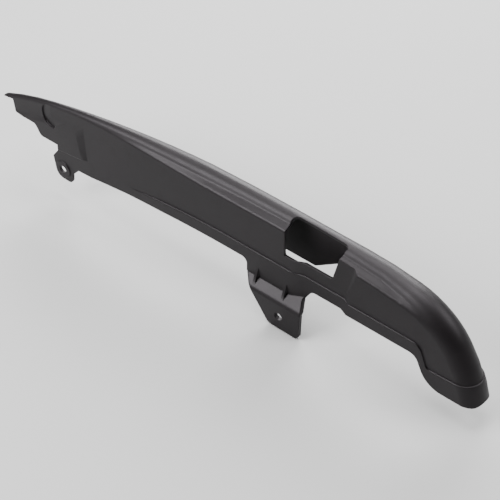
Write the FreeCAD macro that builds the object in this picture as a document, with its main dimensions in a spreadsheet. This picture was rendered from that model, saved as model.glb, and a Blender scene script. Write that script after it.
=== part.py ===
"""Motorbike chain guard: one moulded plastic channel with a bracket and a bolt ear.

Millimetres. The origin is on the bracket's outer face, at the axis of its bolt hole.
+X runs to the tail end, +Y runs inboard towards the wheel and +Z is up.
"""
import FreeCAD, Part
import math
import os

SIZES = (
    ("wall", 2.5, "moulded wall thickness"),
    ("wall_y", 9.0, "near wall's outer face, inboard of the bracket face"),
    ("crown_z", 103.3, "top of the hood"),
    ("crown_front_x", -100.0, "the crown falls towards the front from here"),
    ("crown_peak_x", -10.0, "the crown falls towards the tail from here"),
    ("crown_rear_radius", 1190.0, "long arc of the crown towards the tail"),
    ("tip_x", -344.9, "front end of the hood"),
    ("tip_drop", 35.0, "how far the crown has fallen at the front end"),
    ("tip_power", 3.1, "how late the fall to the front end comes"),
    ("tip_rake", 5.0, "how far the front end slants back to its far side"),
    ("tail_x", 122.0, "the crown turns down round the tail from here"),
    ("tail_radius", 79.5, "arc of the crown over the tail"),
    ("tail_turn", 55.0, "degrees from level where that arc ends"),
    ("nose_radius", 150.0, "flatter arc of the crown down the nose"),
    ("tail_stock", 65.0, "depth of the walls' stock round the tail"),
    ("stock_bottom_z", 15.0, "lowest stock of the walls before trimming"),
    ("front_width", 7.0, "outside width of the channel at the front"),
    ("middle_width", 26.0, "outside width of the channel at the middle"),
    ("tail_width", 29.5, "outside width of the channel at the tail"),
    ("widen_start_x", -290.0, "the channel widens from here"),
    ("widen_end_x", -70.0, "the channel has its middle width from here"),
    ("swell_start_x", 20.0, "the channel widens for the tail from here"),
    ("swell_end_x", 100.0, "the channel has its tail width from here"),
    ("ledge_start_x", -235.0, "the ledge beside the hood starts to show"),
    ("ledge_full_x", -20.0, "the ledge has its full width"),
    ("ledge_fade_x", 85.0, "the ledge starts to fade"),
    ("ledge_end_x", 160.0, "the ledge is gone"),
    ("ledge_width", 8.0, "full width of the ledge"),
    ("ledge_rise", 6.2, "rise of the ledge from the wall's top to the hood's foot"),
    ("ledge_edge", 3.8, "how gently the near wall turns over into the ledge"),
    ("ledge_gutter", 2.8, "how gently the ledge turns up into the hood"),
    ("hood_slope", 27.0, "degrees of the hood's foot from upright"),
    ("beak_z", 67.0, "lower edge of the beak at the front end"),
    ("front_x", -331.0, "front edge of the near wall, at its top"),
    ("front_top_z", 70.0, "top of the near wall's front edge"),
    ("front_rake", 2.0, "how far that edge leans back to its foot"),
    ("nose_edge_z", 57.0, "first step of the lower edge"),
    ("nose_step_x", -301.0, "end of the first step"),
    ("nose_step_slope", 6.5, "length of the slope down to the second step"),
    ("second_edge_z", 46.0, "second step of the lower edge"),
    ("panel_front_x", -273.0, "end of the second step, above the ear"),
    ("panel_front_z", 39.9, "front end of the raised panel's lower edge"),
    ("panel_rear_x", -232.0, "rear edge of the raised panel"),
    ("panel_rear_z", 44.9, "rear end of the raised panel's lower edge"),
    ("panel_rise", 2.0, "how far the front panel stands proud"),
    ("panel_ramp", 4.0, "ramp along the panel's rear edge"),
    ("panel_blend", 16.0, "ramp from the panel up to the hood"),
    ("panel_top_z", 90.0, "top of the panel's blend at its rear edge"),
    ("panel_tip_z", 58.0, "top of the panel's blend at the front end"),
    ("step_round", 5.0, "rounds of the front end's steps"),
    ("corner_round", 3.0, "round of a trimmed corner"),
    ("corner_break", 1.0, "smallest round or set-back of a corner"),
    ("overrun", 4.0, "stock beyond a trimmed end"),
    ("ear_root_z", 26.5, "lower edge of the near wall behind the ear"),
    ("belt_x", -60.0, "the lower edge runs straight from here"),
    ("belt_z", 39.0, "straight lower edge of the near wall"),
    ("belt_bow", 3.1, "bow of the lower edge towards the ear"),
    ("web_front_x", -42.5, "front edge of the bracket's web"),
    ("web_rear_x", 19.0, "rear edge of the bracket's web, at its foot"),
    ("web_rake", 8.5, "how far that edge leans to the belt"),
    ("web_bottom_z", 25.0, "foot of the web, where the shelf starts"),
    ("web_round", 6.0, "round between the web and the belt"),
    ("foot_x", 139.0, "the lower edge turns down to the foot"),
    ("foot_slope", 13.0, "length of the slope down to the foot"),
    ("foot_z", 11.0, "bottom of the foot"),
    ("chin_round", 6.0, "round at the bottom of the nose"),
    ("foot_round_top", 10.0, "round at the top of that slope"),
    ("foot_round_low", 24.0, "round at the bottom of that slope"),
    ("band", 1.0, "how far the rim band stands proud"),
    ("band_height", 13.0, "height of the rim band on the straight edge"),
    ("band_foot_height", 19.0, "height of the rim band on the foot"),
    ("band_nose_rise", 5.0, "how far the band climbs towards the nose"),
    ("band_front_x", -185.0, "front end of the rim band"),
    ("band_front_z", 42.0, "top of the rim band at its front end"),
    ("band_bow", 2.4, "bow of the band's top edge"),
    ("band_ramp", 40.0, "length over which the band fades in"),
    ("recess", 3.5, "how far the near wall is set in beside the window"),
    ("recess_front_x", 4.5, "front end of the recess"),
    ("recess_front_ramp", 14.0, "length of its front ramp"),
    ("recess_rear_x", 66.5, "rear end of the recess, at the belt"),
    ("recess_rear_lean", 14.0, "how far that end leans to the ledge"),
    ("recess_rear_ramp", 8.0, "length of its rear ramp"),
    ("window_front_x", -1.6, "front edge of the window"),
    ("window_rear_x", 47.5, "rear edge of the window, at its foot"),
    ("window_lean", 9.0, "how far that edge leans to its top"),
    ("window_bottom_z", 66.0, "foot of the window"),
    ("window_depth", 14.6, "how far the window reaches over the hood, from the near wall"),
    ("window_round", 6.0, "front top corner of the window"),
    ("window_rear_round", 5.0, "rear top corner of the window"),
    ("window_small_round", 2.0, "lower corners of the window"),
    ("far_edge_z", 47.0, "lower edge of the far wall at the middle"),
    ("far_front_z", 71.0, "lower edge of the far wall near the front"),
    ("far_front_x", -270.0, "the far wall deepens from here"),
    ("far_deep_x", -100.0, "the far wall has its full depth"),
    ("far_notch_x", 14.4, "front end of the slope up to the notch"),
    ("far_notch_slope", 42.0, "length of that slope"),
    ("far_notch_z", 76.0, "lower edge of the far wall over the notch"),
    ("far_notch_rear_x", 105.0, "rear end of the notch"),
    ("far_foot_x", 168.0, "the far wall reaches the foot"),
    ("far_gap", 6.3, "clear of the near wall, for the far wall's edge"),
    ("bolt_bore", 8.0, "bolt hole in the bracket"),
    ("plate", 4.0, "thickness of the bracket's plate and shelf"),
    ("plate_bend_z", 16.5, "bend between the plate and the shelf"),
    ("plate_rear_x", 23.5, "rear edge of the bracket"),
    ("plate_bottom_z", -14.5, "bottom edge of the plate"),
    ("plate_front_x", -11.5, "front end of the plate's bottom edge"),
    ("plate_shoulder_x", -33.5, "front end of the bend"),
    ("plate_round", 5.0, "corners of the plate"),
    ("bend_round", 3.0, "round on the outside of the bend"),
    ("rib", 2.5, "thickness of a gusset rib"),
    ("rib_height", 13.0, "height of a rib on the web"),
    ("rib_reach", 6.4, "how far a rib reaches along the shelf"),
    ("rib_front_x", -30.5, "middle of the front rib"),
    ("rib_pitch", 32.0, "distance between the ribs"),
    ("ear_bore", 8.0, "bolt hole in the ear"),
    ("ear_x", -269.6, "bolt hole in the ear"),
    ("ear_z", 16.8, "bolt hole in the ear"),
    ("ear", 2.0, "thickness of the ear"),
    ("ear_rim", 8.5, "ear beyond the bore, at its front"),
    ("ear_heel", 7.5, "ear beyond the bore, at its rear"),
    ("ear_drop", 7.5, "ear beyond the bore, at its foot"),
    ("ear_corner_z", 27.5, "upper front corner of the ear"),
    ("ear_lean", 4.0, "how far the ear's front edge leans back to its foot"),
    ("ear_round", 9.0, "round at the ear's front foot"),
    ("ear_rear_round", 6.0, "round at the ear's rear foot"),
    ("ear_shoulder_x", -249.0, "the ear meets the lower edge"),
    ("boss", 0.8, "seat round the ear's bore"),
    ("boss_rim", 5.0, "width of that seat"),
    ("thumb_x", -279.3, "middle of the D-shaped recess"),
    ("thumb_z", 75.8, "middle of the D-shaped recess"),
    ("thumb_radius", 12.0, "round side of the D-shaped recess"),
    ("thumb_length", 17.0, "from its middle to its rear top corner"),
    ("thumb_rise", 4.5, "how far its top edge climbs to that corner"),
    ("thumb_depth", 3.2, "depth of its round side"),
)

doc = FreeCAD.newDocument("chain_guard")
sheet = doc.addObject("Spreadsheet::Sheet", "Sizes")
for row, (alias, value, note) in enumerate(SIZES, 1):
    sheet.set(f"A{row}", note)
    sheet.set(f"B{row}", str(value))
    sheet.setAlias(f"B{row}", alias)
doc.recompute()
FAR_AWAY = 60.0


class Size:
    """Reads a driving dimension from the sheet by its name."""

    def __getattr__(self, alias):
        return float(sheet.get(alias))


size = Size()


def mix(start, end, share):
    return start + (end - start) * share


def ease(value, start, end):
    """0 before start, 1 after end and an S-curve between them."""
    share = min(max((value - start) / (end - start), 0.0), 1.0)
    return share * share * (3.0 - 2.0 * share)


# The crown line and the sections across it

def crown_height(x):
    if x < size.crown_front_x:
        share = (size.crown_front_x - x) / (size.crown_front_x - size.tip_x)
        return size.crown_z - size.tip_drop * share ** size.tip_power
    rear = max(x - size.crown_peak_x, 0.0)
    return size.crown_z - size.crown_rear_radius + math.sqrt(size.crown_rear_radius ** 2 - rear ** 2)


def crown_lean(x):
    """Angle of the section from upright: square to the crown where it falls to the tail."""
    return math.asin(max(x - size.crown_peak_x, 0.0) / size.crown_rear_radius)


def stations(spare):
    """Crown points from the front end to the nose, each with its lean and depth of stock."""
    front = [size.tip_x - spare]
    front += [mix(size.tip_x, size.crown_front_x, step / 11) for step in range(1, 12)]
    middle = [mix(size.crown_front_x, size.crown_peak_x, step / 2) for step in (1, 2)]
    line = []
    for x in front + middle:
        line.append((x, crown_height(x), 0.0, crown_height(x) - size.stock_bottom_z))
    for step in range(1, 6):
        x = mix(size.crown_peak_x, size.tail_x, step / 5)
        line.append((x, crown_height(x), crown_lean(x), mix(line[-1][3], size.tail_stock, step / 5)))

    def down_arc(radius, end, steps):
        x, z, lean, _ = line[-1]
        axis_x, axis_z = x - radius * math.sin(lean), z - radius * math.cos(lean)
        if end is None:
            end = math.acos((size.foot_z - spare - axis_z) / radius)
        for step in range(1, steps + 1):
            turn = mix(lean, end, step / steps)
            line.append((axis_x + radius * math.sin(turn), axis_z + radius * math.cos(turn), turn, size.tail_stock))

    down_arc(size.tail_radius, math.radians(size.tail_turn), 7)
    down_arc(size.nose_radius, None, 3)
    return line


def section(station, offset, spare):
    """Closed outline across the channel, moved out by offset from the moulded face.

    The near wall turns through an S-curve, which is the ledge, into a hood of two arcs and the far wall.
    Where the ledge has faded, the S-curve is the first stretch of the hood's own arc.
    """
    x, z, lean, depth = station
    width = mix(size.front_width, size.middle_width, ease(x, size.widen_start_x, size.widen_end_x))
    width = mix(width, size.tail_width, ease(x, size.swell_start_x, size.swell_end_x))
    ledge = ease(x, size.ledge_start_x, size.ledge_full_x) - ease(x, size.ledge_fade_x, size.ledge_end_x)
    slope = math.radians(size.hood_slope)
    plain_radius = width / 2
    plain_pull = plain_radius * math.tan(slope / 4) * 4 / 3
    foot = FreeCAD.Vector(mix(plain_radius * (1 - math.cos(slope)), size.ledge_width, ledge),
                          mix(plain_radius * math.sin(slope), size.ledge_rise, ledge))
    radius = (width - foot.x) / (1 + math.cos(slope))
    edge_pull = mix(plain_pull, size.ledge_edge, ledge)
    gutter_pull = mix(plain_pull, size.ledge_gutter, ledge)
    up, along = FreeCAD.Vector(0, 1), FreeCAD.Vector(math.sin(slope), math.cos(slope))
    chord = foot - along * gutter_pull - up * edge_pull
    turn = math.atan2(chord.x, chord.y)
    edge_pull += offset * math.tan(turn / 2)
    gutter_pull -= offset * math.tan((turn - slope) / 2)
    centre = foot + FreeCAD.Vector(math.cos(slope), -math.sin(slope)) * radius

    def place(point):
        height = point.y - centre.y - radius
        return FreeCAD.Vector(x + height * math.sin(lean), size.wall_y + point.x, z + height * math.cos(lean))

    def hood(angle):
        """Point on the hood, by the angle of its face from the near side over to the far side."""
        return centre + FreeCAD.Vector(-math.cos(angle), math.sin(angle)) * (radius + offset)

    def curve(*poles):
        bezier = Part.BezierCurve()
        bezier.setPoles([place(pole) for pole in poles])
        return bezier.toShape()

    def line(start, end):
        return Part.LineSegment(place(start), place(end)).toShape()

    def arc(start, end):
        pull = (radius + offset) * math.tan((end - start) / 4) * 4 / 3
        leave = FreeCAD.Vector(math.sin(start), math.cos(start)) * pull
        arrive = FreeCAD.Vector(math.sin(end), math.cos(end)) * pull
        return curve(hood(start), hood(start) + leave, hood(end) - arrive, hood(end))

    wall_top = FreeCAD.Vector(-offset, 0)
    hood_foot = hood(slope)
    near_foot = FreeCAD.Vector(-offset, centre.y + radius - depth - spare)
    far_foot = FreeCAD.Vector(width + offset, near_foot.y)
    return Part.Wire([
        line(near_foot, wall_top),
        curve(wall_top, wall_top + up * edge_pull, hood_foot - along * gutter_pull, hood_foot),
        arc(slope, math.pi / 2),
        arc(math.pi / 2, math.pi),
        line(hood(math.pi), far_foot),
        line(far_foot, near_foot),
    ])


def skin(name, offset, spare):
    """Solid inside one face of the moulding, from the front end round to the tail's foot, with spare stock."""
    wires = [section(each, offset, spare) for each in stations(spare)]
    solid = doc.addObject("Part::Feature", name)
    solid.Shape = Part.makeLoft(wires, True, True)
    return solid


# Outlines and the solids made from them

def outline(corners, place):
    """Face through corners (u, v, round, bow): bow lifts the edge after the corner to an arc."""
    count = len(corners)
    flat = [FreeCAD.Vector(u, v, 0) for u, v, *_ in corners]
    starts, ends, edges = [], [], []
    for index, (u, v, round_radius, *_) in enumerate(corners):
        before = (flat[index - 1] - flat[index]).normalize()
        after = (flat[(index + 1) % count] - flat[index]).normalize()
        setback = 0.0
        if round_radius:
            setback = round_radius / math.tan(before.getAngle(after) / 2)
        ends.append(flat[index] + before * setback)
        starts.append(flat[index] + after * setback)
    for index, (u, v, round_radius, *bow) in enumerate(corners):
        if round_radius:
            middle = (ends[index] + starts[index]) * 0.5
            inward = (middle - flat[index]).normalize()
            half = (ends[index] - starts[index]).Length / 2
            reach = math.sqrt(round_radius ** 2 - half ** 2)
            top = middle + inward * (reach - round_radius)
            edges.append(Part.Arc(place(ends[index]), place(top), place(starts[index])).toShape())
        begin, finish = starts[index], ends[(index + 1) % count]
        if bow:
            chord = finish - begin
            middle = (begin + finish) * 0.5 + FreeCAD.Vector(-chord.y, chord.x, 0).normalize() * bow[0]
            edges.append(Part.Arc(place(begin), place(middle), place(finish)).toShape())
        elif (finish - begin).Length > 1e-6:
            edges.append(Part.LineSegment(place(begin), place(finish)).toShape())
    return Part.Face(Part.Wire(edges))


def extrusion(name, face, direction, axis, start, length):
    """A face drawn at zero, pushed along an axis from start by length, both bound to the sheet."""
    drawn = doc.addObject("Part::Feature", f"{name}_outline")
    drawn.Shape = face
    solid = doc.addObject("Part::Extrusion", name)
    solid.Base = drawn
    solid.DirMode = "Custom"
    solid.Dir = direction
    solid.Solid = True
    solid.setExpression("LengthFwd", length)
    solid.setExpression(f"Placement.Base.{axis}", start)
    return solid


def side_prism(name, corners, start, length):
    """Outline in the side view (x, z), pushed inboard along Y."""
    face = outline(corners, lambda point: FreeCAD.Vector(point.x, 0, point.y))
    return extrusion(name, face, FreeCAD.Vector(0, 1, 0), "y", start, length)


def end_prism(name, corners, start, length):
    """Outline in the end view (y, z), pushed along X."""
    face = outline(corners, lambda point: FreeCAD.Vector(0, point.x, point.y))
    return extrusion(name, face, FreeCAD.Vector(1, 0, 0), "x", start, length)


def plan_prism(name, corners, start, length):
    """Outline in plan (x, y), pushed up along Z."""
    face = outline(corners, lambda point: FreeCAD.Vector(point.x, point.y, 0))
    return extrusion(name, face, FreeCAD.Vector(0, 0, 1), "z", start, length)


def slab(name, outer, inner, y_outer, y_inner):
    """Flat block whose sides slope from one side-view outline to another, for ramped panels."""
    wires = []
    for corners, y in ((outer, y_outer), (inner, y_inner)):
        points = [FreeCAD.Vector(x, y, z) for x, z in corners]
        wires.append(Part.makePolygon(points + points[:1]))
    solid = doc.addObject("Part::Feature", name)
    solid.Shape = Part.makeLoft(wires, True, True)
    return solid


def cut(name, base, tool):
    result = doc.addObject("Part::Cut", name)
    result.Base = base
    result.Tool = tool
    return result


def common(name, *shapes):
    result = doc.addObject("Part::MultiCommon", name)
    result.Shapes = shapes
    return result


def fuse(name, *shapes):
    result = doc.addObject("Part::MultiFuse", name)
    result.Shapes = shapes
    return result


def bore(name, diameter, x, z, start, length):
    """Round bar along Y."""
    bar = doc.addObject("Part::Cylinder", name)
    bar.Placement.Rotation = FreeCAD.Rotation(FreeCAD.Vector(1, 0, 0), -90)
    bar.setExpression("Radius", f"({diameter}) / 2")
    bar.setExpression("Height", length)
    bar.setExpression("Placement.Base.x", x)
    bar.setExpression("Placement.Base.y", start)
    bar.setExpression("Placement.Base.z", z)
    return bar


# Trim of the channel in the side view

TOP_Z = size.crown_z + FAR_AWAY
BEYOND_TIP = size.tip_x - FAR_AWAY
BEYOND_TAIL = size.tail_x + size.tail_radius + FAR_AWAY
beak_slope = (size.front_top_z - size.beak_z) / (size.front_x - size.tip_x)
foot_toe_x = size.foot_x + size.foot_slope
nose_x = stations(0.0)[-1][0] + size.band
lower_edge = [
    (size.panel_front_x, size.panel_front_z, 0),
    (size.panel_rear_x, size.panel_rear_z, 0),
    (size.panel_rear_x, size.ear_root_z, 0, size.belt_bow),
    (size.belt_x, size.belt_z, 0),
    (size.web_front_x, size.belt_z, size.web_round),
    (size.web_front_x, size.web_bottom_z, 0),
    (size.web_rear_x, size.web_bottom_z, 0),
    (size.web_rear_x + size.web_rake, size.belt_z, size.web_round),
    (size.foot_x, size.belt_z, size.foot_round_top),
    (foot_toe_x, size.foot_z, size.foot_round_low),
]
side_trim = side_prism("side_trim", [
    (BEYOND_TIP, TOP_Z, 0),
    (BEYOND_TIP, size.beak_z - beak_slope * FAR_AWAY, 0),
    (size.front_x, size.front_top_z, size.corner_break),
    (size.front_x + size.front_rake, size.nose_edge_z, size.corner_round),
    (size.nose_step_x, size.nose_edge_z, size.step_round),
    (size.nose_step_x + size.nose_step_slope, size.second_edge_z, size.step_round),
    (size.panel_front_x, size.second_edge_z, 0),
    *lower_edge,
    (nose_x, size.foot_z, size.chin_round),
    (nose_x, TOP_Z, 0),
], "-Sizes.wall_y", "Sizes.wall_y * 3 + Sizes.tail_width")

# Raised panel at the front, with its ramps up to the hood and back to the wall

panel_wall = [
    (size.tip_x, size.foot_z), (size.panel_rear_x, size.foot_z),
    (size.panel_rear_x, size.panel_top_z), (size.tip_x, size.panel_tip_z),
]
panel_face = [
    (size.tip_x, size.foot_z), (size.panel_rear_x - size.panel_ramp, size.foot_z),
    (size.panel_rear_x - size.panel_blend, size.panel_top_z - size.panel_blend),
    (size.tip_x, size.panel_tip_z - size.panel_blend / 2),
]
panel = slab("front_panel", panel_wall, panel_face, size.wall_y + size.wall / 2, size.wall_y - size.panel_rise)
stock = fuse("stock", skin("outer_skin", 0.0, size.overrun), panel)
slant = size.tip_rake / size.front_width
plan_trim = plan_prism("plan_trim", [
    (size.tip_x - slant * size.wall_y, 0, 0),
    (BEYOND_TAIL, 0, 0),
    (BEYOND_TAIL, FAR_AWAY, 0),
    (size.tip_x + slant * (FAR_AWAY - size.wall_y), FAR_AWAY, 0),
], "-Sizes.crown_z", "Sizes.crown_z * 3")
channel = common("channel", stock, side_trim, plan_trim)

# Rim band along the lower edge and round the foot

band_top = size.belt_z + size.band_height
foot_top = size.foot_z + size.band_foot_height
band_strip = side_prism("band_strip", [
    (size.band_front_x, size.band_front_z, 0, size.band_bow),
    (size.belt_x, band_top, 0),
    (size.foot_x + 3.0, band_top, size.foot_round_top),
    (foot_toe_x - 1.0, foot_top, 5.0),
    (BEYOND_TAIL, foot_top + size.band_nose_rise, 0),
    (BEYOND_TAIL, size.foot_z - FAR_AWAY, 0),
    (size.band_front_x, size.foot_z - FAR_AWAY, 0),
], "-Sizes.wall_y", "Sizes.wall_y * 3 + Sizes.tail_width")
band_plan = plan_prism("band_plan", [
    (size.band_front_x, size.wall_y + FAR_AWAY, 0),
    (size.band_front_x, size.wall_y, 0),
    (size.band_front_x + size.band_ramp, size.wall_y - size.band, 0),
    (BEYOND_TAIL, size.wall_y - size.band, 0),
    (BEYOND_TAIL, size.wall_y + FAR_AWAY, 0),
], "Sizes.foot_z", "Sizes.crown_z")
rim_band = common("rim_band", skin("band_skin", size.band, size.overrun), band_strip, band_plan, side_trim)

# Recess beside the window, at one depth for each face of the moulding

def recess_slab(name, floor_y):
    low, high = size.foot_z, size.crown_z
    lean = size.recess_rear_lean / (size.crown_z - size.belt_z)

    def corners(front, rear):
        return [(front, low), (rear + lean * (low - size.belt_z), low), (rear + lean * (high - size.belt_z), high),
                (front, high)]

    face_y = size.wall_y - size.band
    front, rear = size.recess_front_x, size.recess_rear_x
    inner = corners(front + size.recess_front_ramp, rear - size.recess_rear_ramp)
    return slab(name, corners(front, rear), inner, face_y, floor_y)


floor_y = size.wall_y + size.recess
recessed = cut("recessed_channel", channel, recess_slab("recess", floor_y))
recessed_band = cut("recessed_band", rim_band, recess_slab("band_recess", floor_y - size.band))
core = cut("core", skin("inner_skin", -size.wall, size.overrun * 2), recess_slab("core_recess", floor_y + size.wall))

hull = fuse("hull", recessed, recessed_band)
shell = cut("shell", hull, core)

# Far wall's lower edge, open over the notch behind the window

far_trim = side_prism("far_trim", [
    (BEYOND_TIP, size.foot_z - FAR_AWAY, 0),
    (BEYOND_TIP, size.beak_z - FAR_AWAY, 0),
    (size.far_front_x, size.far_front_z, 30.0),
    (size.far_deep_x, size.far_edge_z, 80.0),
    (size.far_notch_x, size.far_edge_z, 6.0),
    (size.far_notch_x + size.far_notch_slope, size.far_notch_z, 8.0),
    (size.far_notch_rear_x, size.far_notch_z, 20.0),
    (size.far_foot_x, size.foot_z, 0),
    (size.far_foot_x, size.foot_z - FAR_AWAY, 0),
], "Sizes.wall_y + Sizes.far_gap", "Sizes.tail_width * 2")
trimmed = cut("trimmed_shell", shell, far_trim)

# Window through the near wall, the ledge and the hood's near side

window_top_x = size.window_rear_x + size.window_lean
window_side = side_prism("window_side", [
    (size.window_front_x, TOP_Z, 0),
    (size.window_front_x, size.window_bottom_z, size.window_small_round),
    (size.window_rear_x, size.window_bottom_z, size.window_small_round),
    (window_top_x, size.crown_z, 0),
    (window_top_x, TOP_Z, 0),
], "-Sizes.wall_y", "Sizes.wall_y * 2 + Sizes.window_depth * 2")
window_plan = plan_prism("window_plan", [
    (size.window_front_x, 0, 0),
    (window_top_x, 0, 0),
    (window_top_x, size.wall_y + size.window_depth, size.window_rear_round),
    (size.window_front_x, size.wall_y + size.window_depth, size.window_round),
], "0", "Sizes.crown_z * 2")
window = common("window", window_side, window_plan)
opened = cut("opened_shell", trimmed, window)

# D-shaped recess in the front panel: deep at its round side, running out at its straight one

thumb_corner = (size.thumb_x + size.thumb_length, size.thumb_z + size.thumb_radius + size.thumb_rise)
thumb_outline = side_prism("thumb_outline", [
    (size.thumb_x - size.thumb_radius, size.thumb_z - size.thumb_radius, size.thumb_radius * 0.95),
    (size.thumb_x + size.thumb_length / 4, size.thumb_z - size.thumb_radius, size.corner_round),
    (*thumb_corner, size.corner_break),
    (size.thumb_x - size.thumb_radius, size.thumb_z + size.thumb_radius * 0.75, size.thumb_radius * 0.8),
], "0", "Sizes.wall_y + Sizes.wall")
face_y = size.wall_y - size.panel_rise
thumb_floor = plan_prism("thumb_floor", [
    (size.thumb_x - size.thumb_radius, face_y - FAR_AWAY, 0),
    (thumb_corner[0], face_y - FAR_AWAY, 0),
    (thumb_corner[0], face_y, 0),
    (size.thumb_x - size.thumb_radius, face_y + size.thumb_depth, 0),
], "Sizes.foot_z", "Sizes.crown_z")
pressed = cut("pressed_shell", opened, common("thumb_recess", thumb_outline, thumb_floor))

# Bracket: shelf and plate bent from one thickness, trimmed to its outline, with two gusset ribs

bend_out = size.plate * math.tan(math.radians(22.5))
shelf_top = size.plate_bend_z + size.wall_y
bracket_bar = end_prism("bracket_bar", [
    (0, size.plate_bottom_z, 0),
    (0, size.plate_bend_z, size.bend_round + size.plate),
    (size.wall_y + size.recess + size.wall, shelf_top + size.recess + size.wall, 0),
    (size.wall_y + size.recess + size.wall, shelf_top + size.recess + size.wall - size.plate * math.sqrt(2), 0),
    (size.plate, size.plate_bend_z - bend_out, size.bend_round),
    (size.plate, size.plate_bottom_z, 0),
], "Sizes.web_front_x", "Sizes.plate_rear_x - Sizes.web_front_x")
bracket_outline = side_prism("bracket_outline", [
    (size.web_front_x, size.belt_z, 0),
    (size.web_front_x, size.web_bottom_z, size.corner_round),
    (size.plate_shoulder_x, size.plate_bend_z, size.corner_round),
    (size.plate_front_x, size.plate_bottom_z + size.corner_break, size.plate_round),
    (size.plate_rear_x - size.corner_break, size.plate_bottom_z, size.plate_round),
    (size.plate_rear_x, size.plate_bend_z, 0),
    (size.web_rear_x, size.web_bottom_z, 0),
    (size.web_rear_x, size.belt_z, 0),
], "0", "Sizes.wall_y + Sizes.recess + Sizes.wall")
bracket_bore = bore("bracket_bore", "Sizes.bolt_bore", "0", "0", "-Sizes.plate", "Sizes.plate * 3")
bracket_stock = cut("bracket_stock", common("bracket_blank", bracket_bar, bracket_outline), core)
bracket = cut("bracket", bracket_stock, bracket_bore)
rib_foot_z = shelf_top - size.rib_reach
ribs = []
for index in range(2):
    ribs.append(end_prism(f"rib_{index + 1}", [
        (size.wall_y + size.wall / 2, shelf_top + size.rib_height, 0),
        (size.wall_y, shelf_top + size.rib_height, 0),
        (size.wall_y - size.rib_reach, rib_foot_z, 0),
        (size.wall_y - size.rib_reach, rib_foot_z - size.corner_break, 0),
        (size.wall_y + size.wall / 2, shelf_top - size.corner_break, 0),
    ], f"Sizes.rib_front_x + {index} * Sizes.rib_pitch - Sizes.rib / 2", "Sizes.rib"))

# Ear with its bolt seat, behind the raised panel's lower edge

ear_front = size.ear_x - size.ear_bore / 2 - size.ear_rim
ear_foot = size.ear_z - size.ear_bore / 2 - size.ear_drop
ear_rear = size.ear_x + size.ear_bore / 2 + size.ear_heel
ear_plate = side_prism("ear_plate", [
    (size.panel_front_x, size.panel_front_z, 0),
    (ear_front, size.ear_corner_z, size.corner_break),
    (ear_front + size.ear_lean, ear_foot, size.ear_round),
    (ear_rear, ear_foot - size.corner_break, size.ear_rear_round),
    (ear_rear + size.corner_break, size.ear_z, size.corner_round),
    (size.ear_shoulder_x, size.ear_root_z - size.corner_break, 0),
    (size.panel_rear_x, size.ear_root_z, 0),
    (size.panel_rear_x, size.panel_rear_z + size.step_round, 0),
    (size.panel_front_x, size.panel_front_z + size.step_round, 0),
], "Sizes.wall_y", "Sizes.ear")
boss = bore("boss", "Sizes.ear_bore + Sizes.boss_rim * 2", "Sizes.ear_x", "Sizes.ear_z",
            "Sizes.wall_y - Sizes.boss", "Sizes.boss + Sizes.ear / 2")

ear_bore = bore("ear_bore", "Sizes.ear_bore", "Sizes.ear_x", "Sizes.ear_z", "0", "Sizes.wall_y * 2 + Sizes.ear")
ear = cut("bolt_ear", fuse("ear_stock", ear_plate, boss), ear_bore)

guard = fuse("guard", pressed, bracket, *ribs, ear)
guard.Label = "chain_guard"
doc.recompute()

for each in doc.Objects:
    if "Invalid" in each.State or "Error" in each.State:
        raise RuntimeError(f"{each.Name} failed: {each.State}")
if guard.Shape.isNull() or not guard.Shape.isValid():
    raise RuntimeError("the guard's shape is not valid")
if len(guard.Shape.Solids) != 1:
    raise RuntimeError(f"the guard came out as {len(guard.Shape.Solids)} solids")
os.makedirs("parts", exist_ok=True)
guard.Shape.exportStep(f"parts/{guard.Label}.step")
box = guard.Shape.BoundBox
print(f"chain_guard: {box.XLength:.1f} x {box.YLength:.1f} x {box.ZLength:.1f} mm, "
      f"{guard.Shape.Volume / 1000:.1f} cm3, {len(guard.Shape.Faces)} faces")
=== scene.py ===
import math

import bmesh
import bpy
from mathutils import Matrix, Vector


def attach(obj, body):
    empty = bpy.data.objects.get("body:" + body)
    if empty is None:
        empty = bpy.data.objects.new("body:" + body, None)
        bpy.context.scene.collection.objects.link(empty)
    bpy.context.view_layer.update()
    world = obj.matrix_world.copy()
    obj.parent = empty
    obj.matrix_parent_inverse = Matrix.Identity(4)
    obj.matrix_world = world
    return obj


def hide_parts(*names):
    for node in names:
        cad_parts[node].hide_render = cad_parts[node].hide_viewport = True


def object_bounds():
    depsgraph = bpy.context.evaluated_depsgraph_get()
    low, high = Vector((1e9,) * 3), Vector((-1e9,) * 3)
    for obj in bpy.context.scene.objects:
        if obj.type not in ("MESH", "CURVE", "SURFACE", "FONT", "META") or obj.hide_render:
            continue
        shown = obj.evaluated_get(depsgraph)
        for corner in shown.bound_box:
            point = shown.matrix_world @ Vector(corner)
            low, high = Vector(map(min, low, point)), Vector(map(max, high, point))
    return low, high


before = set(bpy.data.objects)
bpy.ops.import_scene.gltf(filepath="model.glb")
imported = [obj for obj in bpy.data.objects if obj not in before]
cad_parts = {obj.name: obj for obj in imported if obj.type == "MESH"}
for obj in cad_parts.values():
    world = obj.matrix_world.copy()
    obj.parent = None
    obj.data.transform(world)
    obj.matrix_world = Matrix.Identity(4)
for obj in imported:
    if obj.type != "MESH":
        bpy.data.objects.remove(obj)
cad_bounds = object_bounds()

# Sizes are in metres
MERGE = 2e-6
FLAT_ANGLE = math.radians(0.4)
CRISP_ANGLE = math.radians(30)
EDGE_BREAK = 0.00032
EDGE_BREAK_STEPS = 2
EDGE_ROUND = 0.0014
FLAT_FACE_WEIGHT = 60
GRAIN_DEPTH = 0.00003

DEEP_BLACK = (0.0034, 0.0027, 0.0030, 1.0)
WORN_BLACK = (0.0060, 0.0048, 0.0054, 1.0)
SHEEN_TINT = (1.0, 0.95, 1.0, 1.0)
FLOOR_GREY = (0.36, 0.36, 0.36, 1.0)
WHITE = (1.0, 1.0, 1.0, 1.0)

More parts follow.
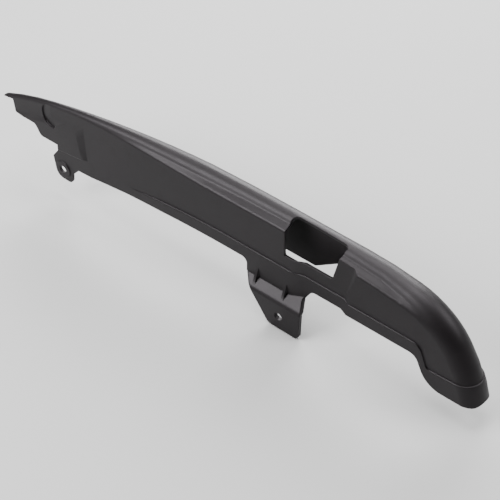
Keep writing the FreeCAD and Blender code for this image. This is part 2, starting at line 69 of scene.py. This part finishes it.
FLOOR_HALF = 8.0
FLOOR_GAP = 0.0006
AIR_STRENGTH = 0.05
GUARD_MIDDLE = (0.0, 0.0, 0.05)

CAMERA_PLACE = (0.6656, -0.8314, 1.0730)
CAMERA_TARGET = (-0.0396, 0.009, 0.050)
SENSOR_MM = 36.0
LENS_MM = 124.2


class Value:
    """What one socket of a finish gives. Arithmetic on it adds Math nodes."""

    def __init__(self, finish, socket):
        self.finish = finish
        self.socket = socket

    def _math(self, operation, first, second):
        return self.finish.node("ShaderNodeMath", {"operation": operation}, {0: first, 1: second})

    def __add__(self, other):
        return self._math("ADD", self, other)

    __radd__ = __add__

    def __sub__(self, other):
        return self._math("SUBTRACT", self, other)

    def __rsub__(self, other):
        return self._math("SUBTRACT", other, self)

    def __mul__(self, other):
        return self._math("MULTIPLY", self, other)

    __rmul__ = __mul__

    def rising(self, low, high):
        """0 below low, 1 above high, and a smooth step between."""
        return self.finish.node("ShaderNodeMapRange", {"interpolation_type": "SMOOTHSTEP"},
                                {"Value": self, "From Min": low, "From Max": high})


class Finish:
    """One material: its principled shader and the nodes that feed it."""

    def __init__(self, name):
        self.material = bpy.data.materials.new(name)
        self.material.use_nodes = True
        self.tree = self.material.node_tree
        self.shader = next(node for node in self.tree.nodes if node.type == "BSDF_PRINCIPLED")

    def fill(self, node, inputs):
        for key, value in inputs.items():
            if isinstance(value, Value):
                self.tree.links.new(value.socket, node.inputs[key])
            else:
                node.inputs[key].default_value = value

    def node(self, kind, settings, inputs, output=0):
        """A node of that kind: its settings first, then the values or links of its sockets."""
        node = self.tree.nodes.new(kind)
        for key, value in settings.items():
            setattr(node, key, value)
        self.fill(node, inputs)
        return Value(self, node.outputs[output])

    def surface(self, **inputs):
        """Sets the shader's own sockets."""
        self.fill(self.shader, {key.replace("_", " "): value for key, value in inputs.items()})
        return self.material


def moulded_plastic():
    """Black moulded plastic: fine spark grain, faint flow marks, soft edges and a slight purple cast."""
    finish = Finish("moulded_black_plastic")
    place = finish.node("ShaderNodeTexCoord", {}, {}, "Object")

    def noise(scale, detail, roughness):
        return finish.node("ShaderNodeTexNoise", {}, {
            "Vector": place, "Scale": scale, "Detail": detail, "Roughness": roughness})

    grain = noise(2600.0, 2.0, 0.6)
    fleck = noise(900.0, 1.0, 0.5)
    flow = noise(26.0, 3.0, 0.55)
    dust = noise(70.0, 4.0, 0.6)
    pale = flow.rising(0.35, 0.7) * 0.55 + dust.rising(0.55, 0.8) * 0.3
    colour = finish.node("ShaderNodeMix", {"data_type": "RGBA"}, {
        0: pale, 6: DEEP_BLACK, 7: WORN_BLACK}, 2)
    gloss = 0.42 + flow * 0.10 + (fleck - 0.5) * 0.12 + dust.rising(0.5, 0.8) * 0.05
    rounded = finish.node("ShaderNodeBevel", {"samples": 8}, {"Radius": EDGE_ROUND})
    bump = finish.node("ShaderNodeBump", {}, {
        "Strength": 0.2, "Distance": GRAIN_DEPTH, "Height": grain * 0.6 + fleck * 0.4, "Normal": rounded})
    return finish.surface(Base_Color=colour, Roughness=gloss, Normal=bump, Specular_IOR_Level=0.23,
                          Specular_Tint=SHEEN_TINT)


def pale_floor():
    return Finish("pale_floor").surface(Base_Color=FLOOR_GREY, Roughness=0.9, Specular_IOR_Level=0.1)


def moulded_piece(node, name):
    """The guard's surface: the solid's facets merged, outer edges broken and curves shaded smooth."""
    shape = bmesh.new()
    shape.from_mesh(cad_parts[node].data)
    bmesh.ops.remove_doubles(shape, verts=shape.verts, dist=MERGE)
    bmesh.ops.dissolve_degenerate(shape, edges=shape.edges, dist=MERGE)
    bmesh.ops.dissolve_limit(shape, angle_limit=FLAT_ANGLE, verts=shape.verts, edges=shape.edges)
    weight = shape.edges.layers.float.new("bevel_weight_edge")
    for edge in shape.edges:
        if not edge.is_manifold:
            continue
        angle = edge.calc_face_angle_signed()
        edge.smooth = angle > -CRISP_ANGLE
        edge[weight] = float(angle > CRISP_ANGLE)
    for face in shape.faces:
        face.smooth = True
    mesh = bpy.data.meshes.new(name)
    shape.to_mesh(mesh)
    shape.free()
    piece = bpy.data.objects.new(name, mesh)
    bpy.context.scene.collection.objects.link(piece)
    edge_break = piece.modifiers.new("edge_break", "BEVEL")
    edge_break.limit_method = "WEIGHT"
    edge_break.width = EDGE_BREAK
    edge_break.segments = EDGE_BREAK_STEPS
    flats = piece.modifiers.new("flats", "WEIGHTED_NORMAL")
    flats.mode = "FACE_AREA"
    flats.weight = FLAT_FACE_WEIGHT
    flats.keep_sharp = True
    depsgraph = bpy.context.evaluated_depsgraph_get()
    finished = bpy.data.meshes.new_from_object(piece.evaluated_get(depsgraph))
    finished.name = name
    piece.modifiers.clear()
    piece.data = finished
    return piece


guard = moulded_piece("chain_guard", "guard_moulding")
guard.data.materials.append(moulded_plastic())
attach(guard, "root")
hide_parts("chain_guard")


def flat_sheet(name, half, height):
    mesh = bpy.data.meshes.new(name)
    corners = [(-half, -half, height), (half, -half, height), (half, half, height), (-half, half, height)]
    mesh.from_pydata(corners, [], [(0, 1, 2, 3)])
    sheet = bpy.data.objects.new(name, mesh)
    bpy.context.scene.collection.objects.link(sheet)
    return sheet


floor = flat_sheet("studio_floor", FLOOR_HALF, cad_bounds[0][2] - FLOOR_GAP)
floor.data.materials.append(pale_floor())


def aim(thing, target):
    thing.rotation_euler = (Vector(target) - thing.location).to_track_quat("-Z", "Y").to_euler()


def soft_box(name, place, width, height, watts):
    """A rectangular studio light that looks at the middle of the guard."""
    light = bpy.data.lights.new(name, "AREA")
    light.shape = "RECTANGLE"
    light.size = width
    light.size_y = height
    light.energy = watts
    lamp = bpy.data.objects.new(name, light)
    lamp.location = place
    bpy.context.scene.collection.objects.link(lamp)
    aim(lamp, GUARD_MIDDLE)


soft_box("front_box", (-0.72, -1.03, 0.96), 0.9, 0.7, 48.0)
soft_box("back_box", (-0.68, 1.19, 0.78), 1.3, 0.8, 66.0)
soft_box("overhead_box", (-0.2, 0.1, 1.7), 1.2, 1.0, 52.0)
soft_box("right_box", (0.9, 0.75, 1.0), 0.9, 0.7, 18.0)

world = bpy.data.worlds.new("studio_air")
world.use_nodes = True
air = world.node_tree.nodes["Background"]
air.inputs["Color"].default_value = WHITE
air.inputs["Strength"].default_value = AIR_STRENGTH
bpy.context.scene.world = world

camera = bpy.data.objects.new("photo_camera", bpy.data.cameras.new("photo_camera"))
camera.data.sensor_width = SENSOR_MM
camera.data.lens = LENS_MM
camera.data.clip_start = 0.05
camera.data.clip_end = 30.0
camera.location = CAMERA_PLACE
bpy.context.scene.collection.objects.link(camera)
aim(camera, CAMERA_TARGET)
bpy.context.scene.camera = camera
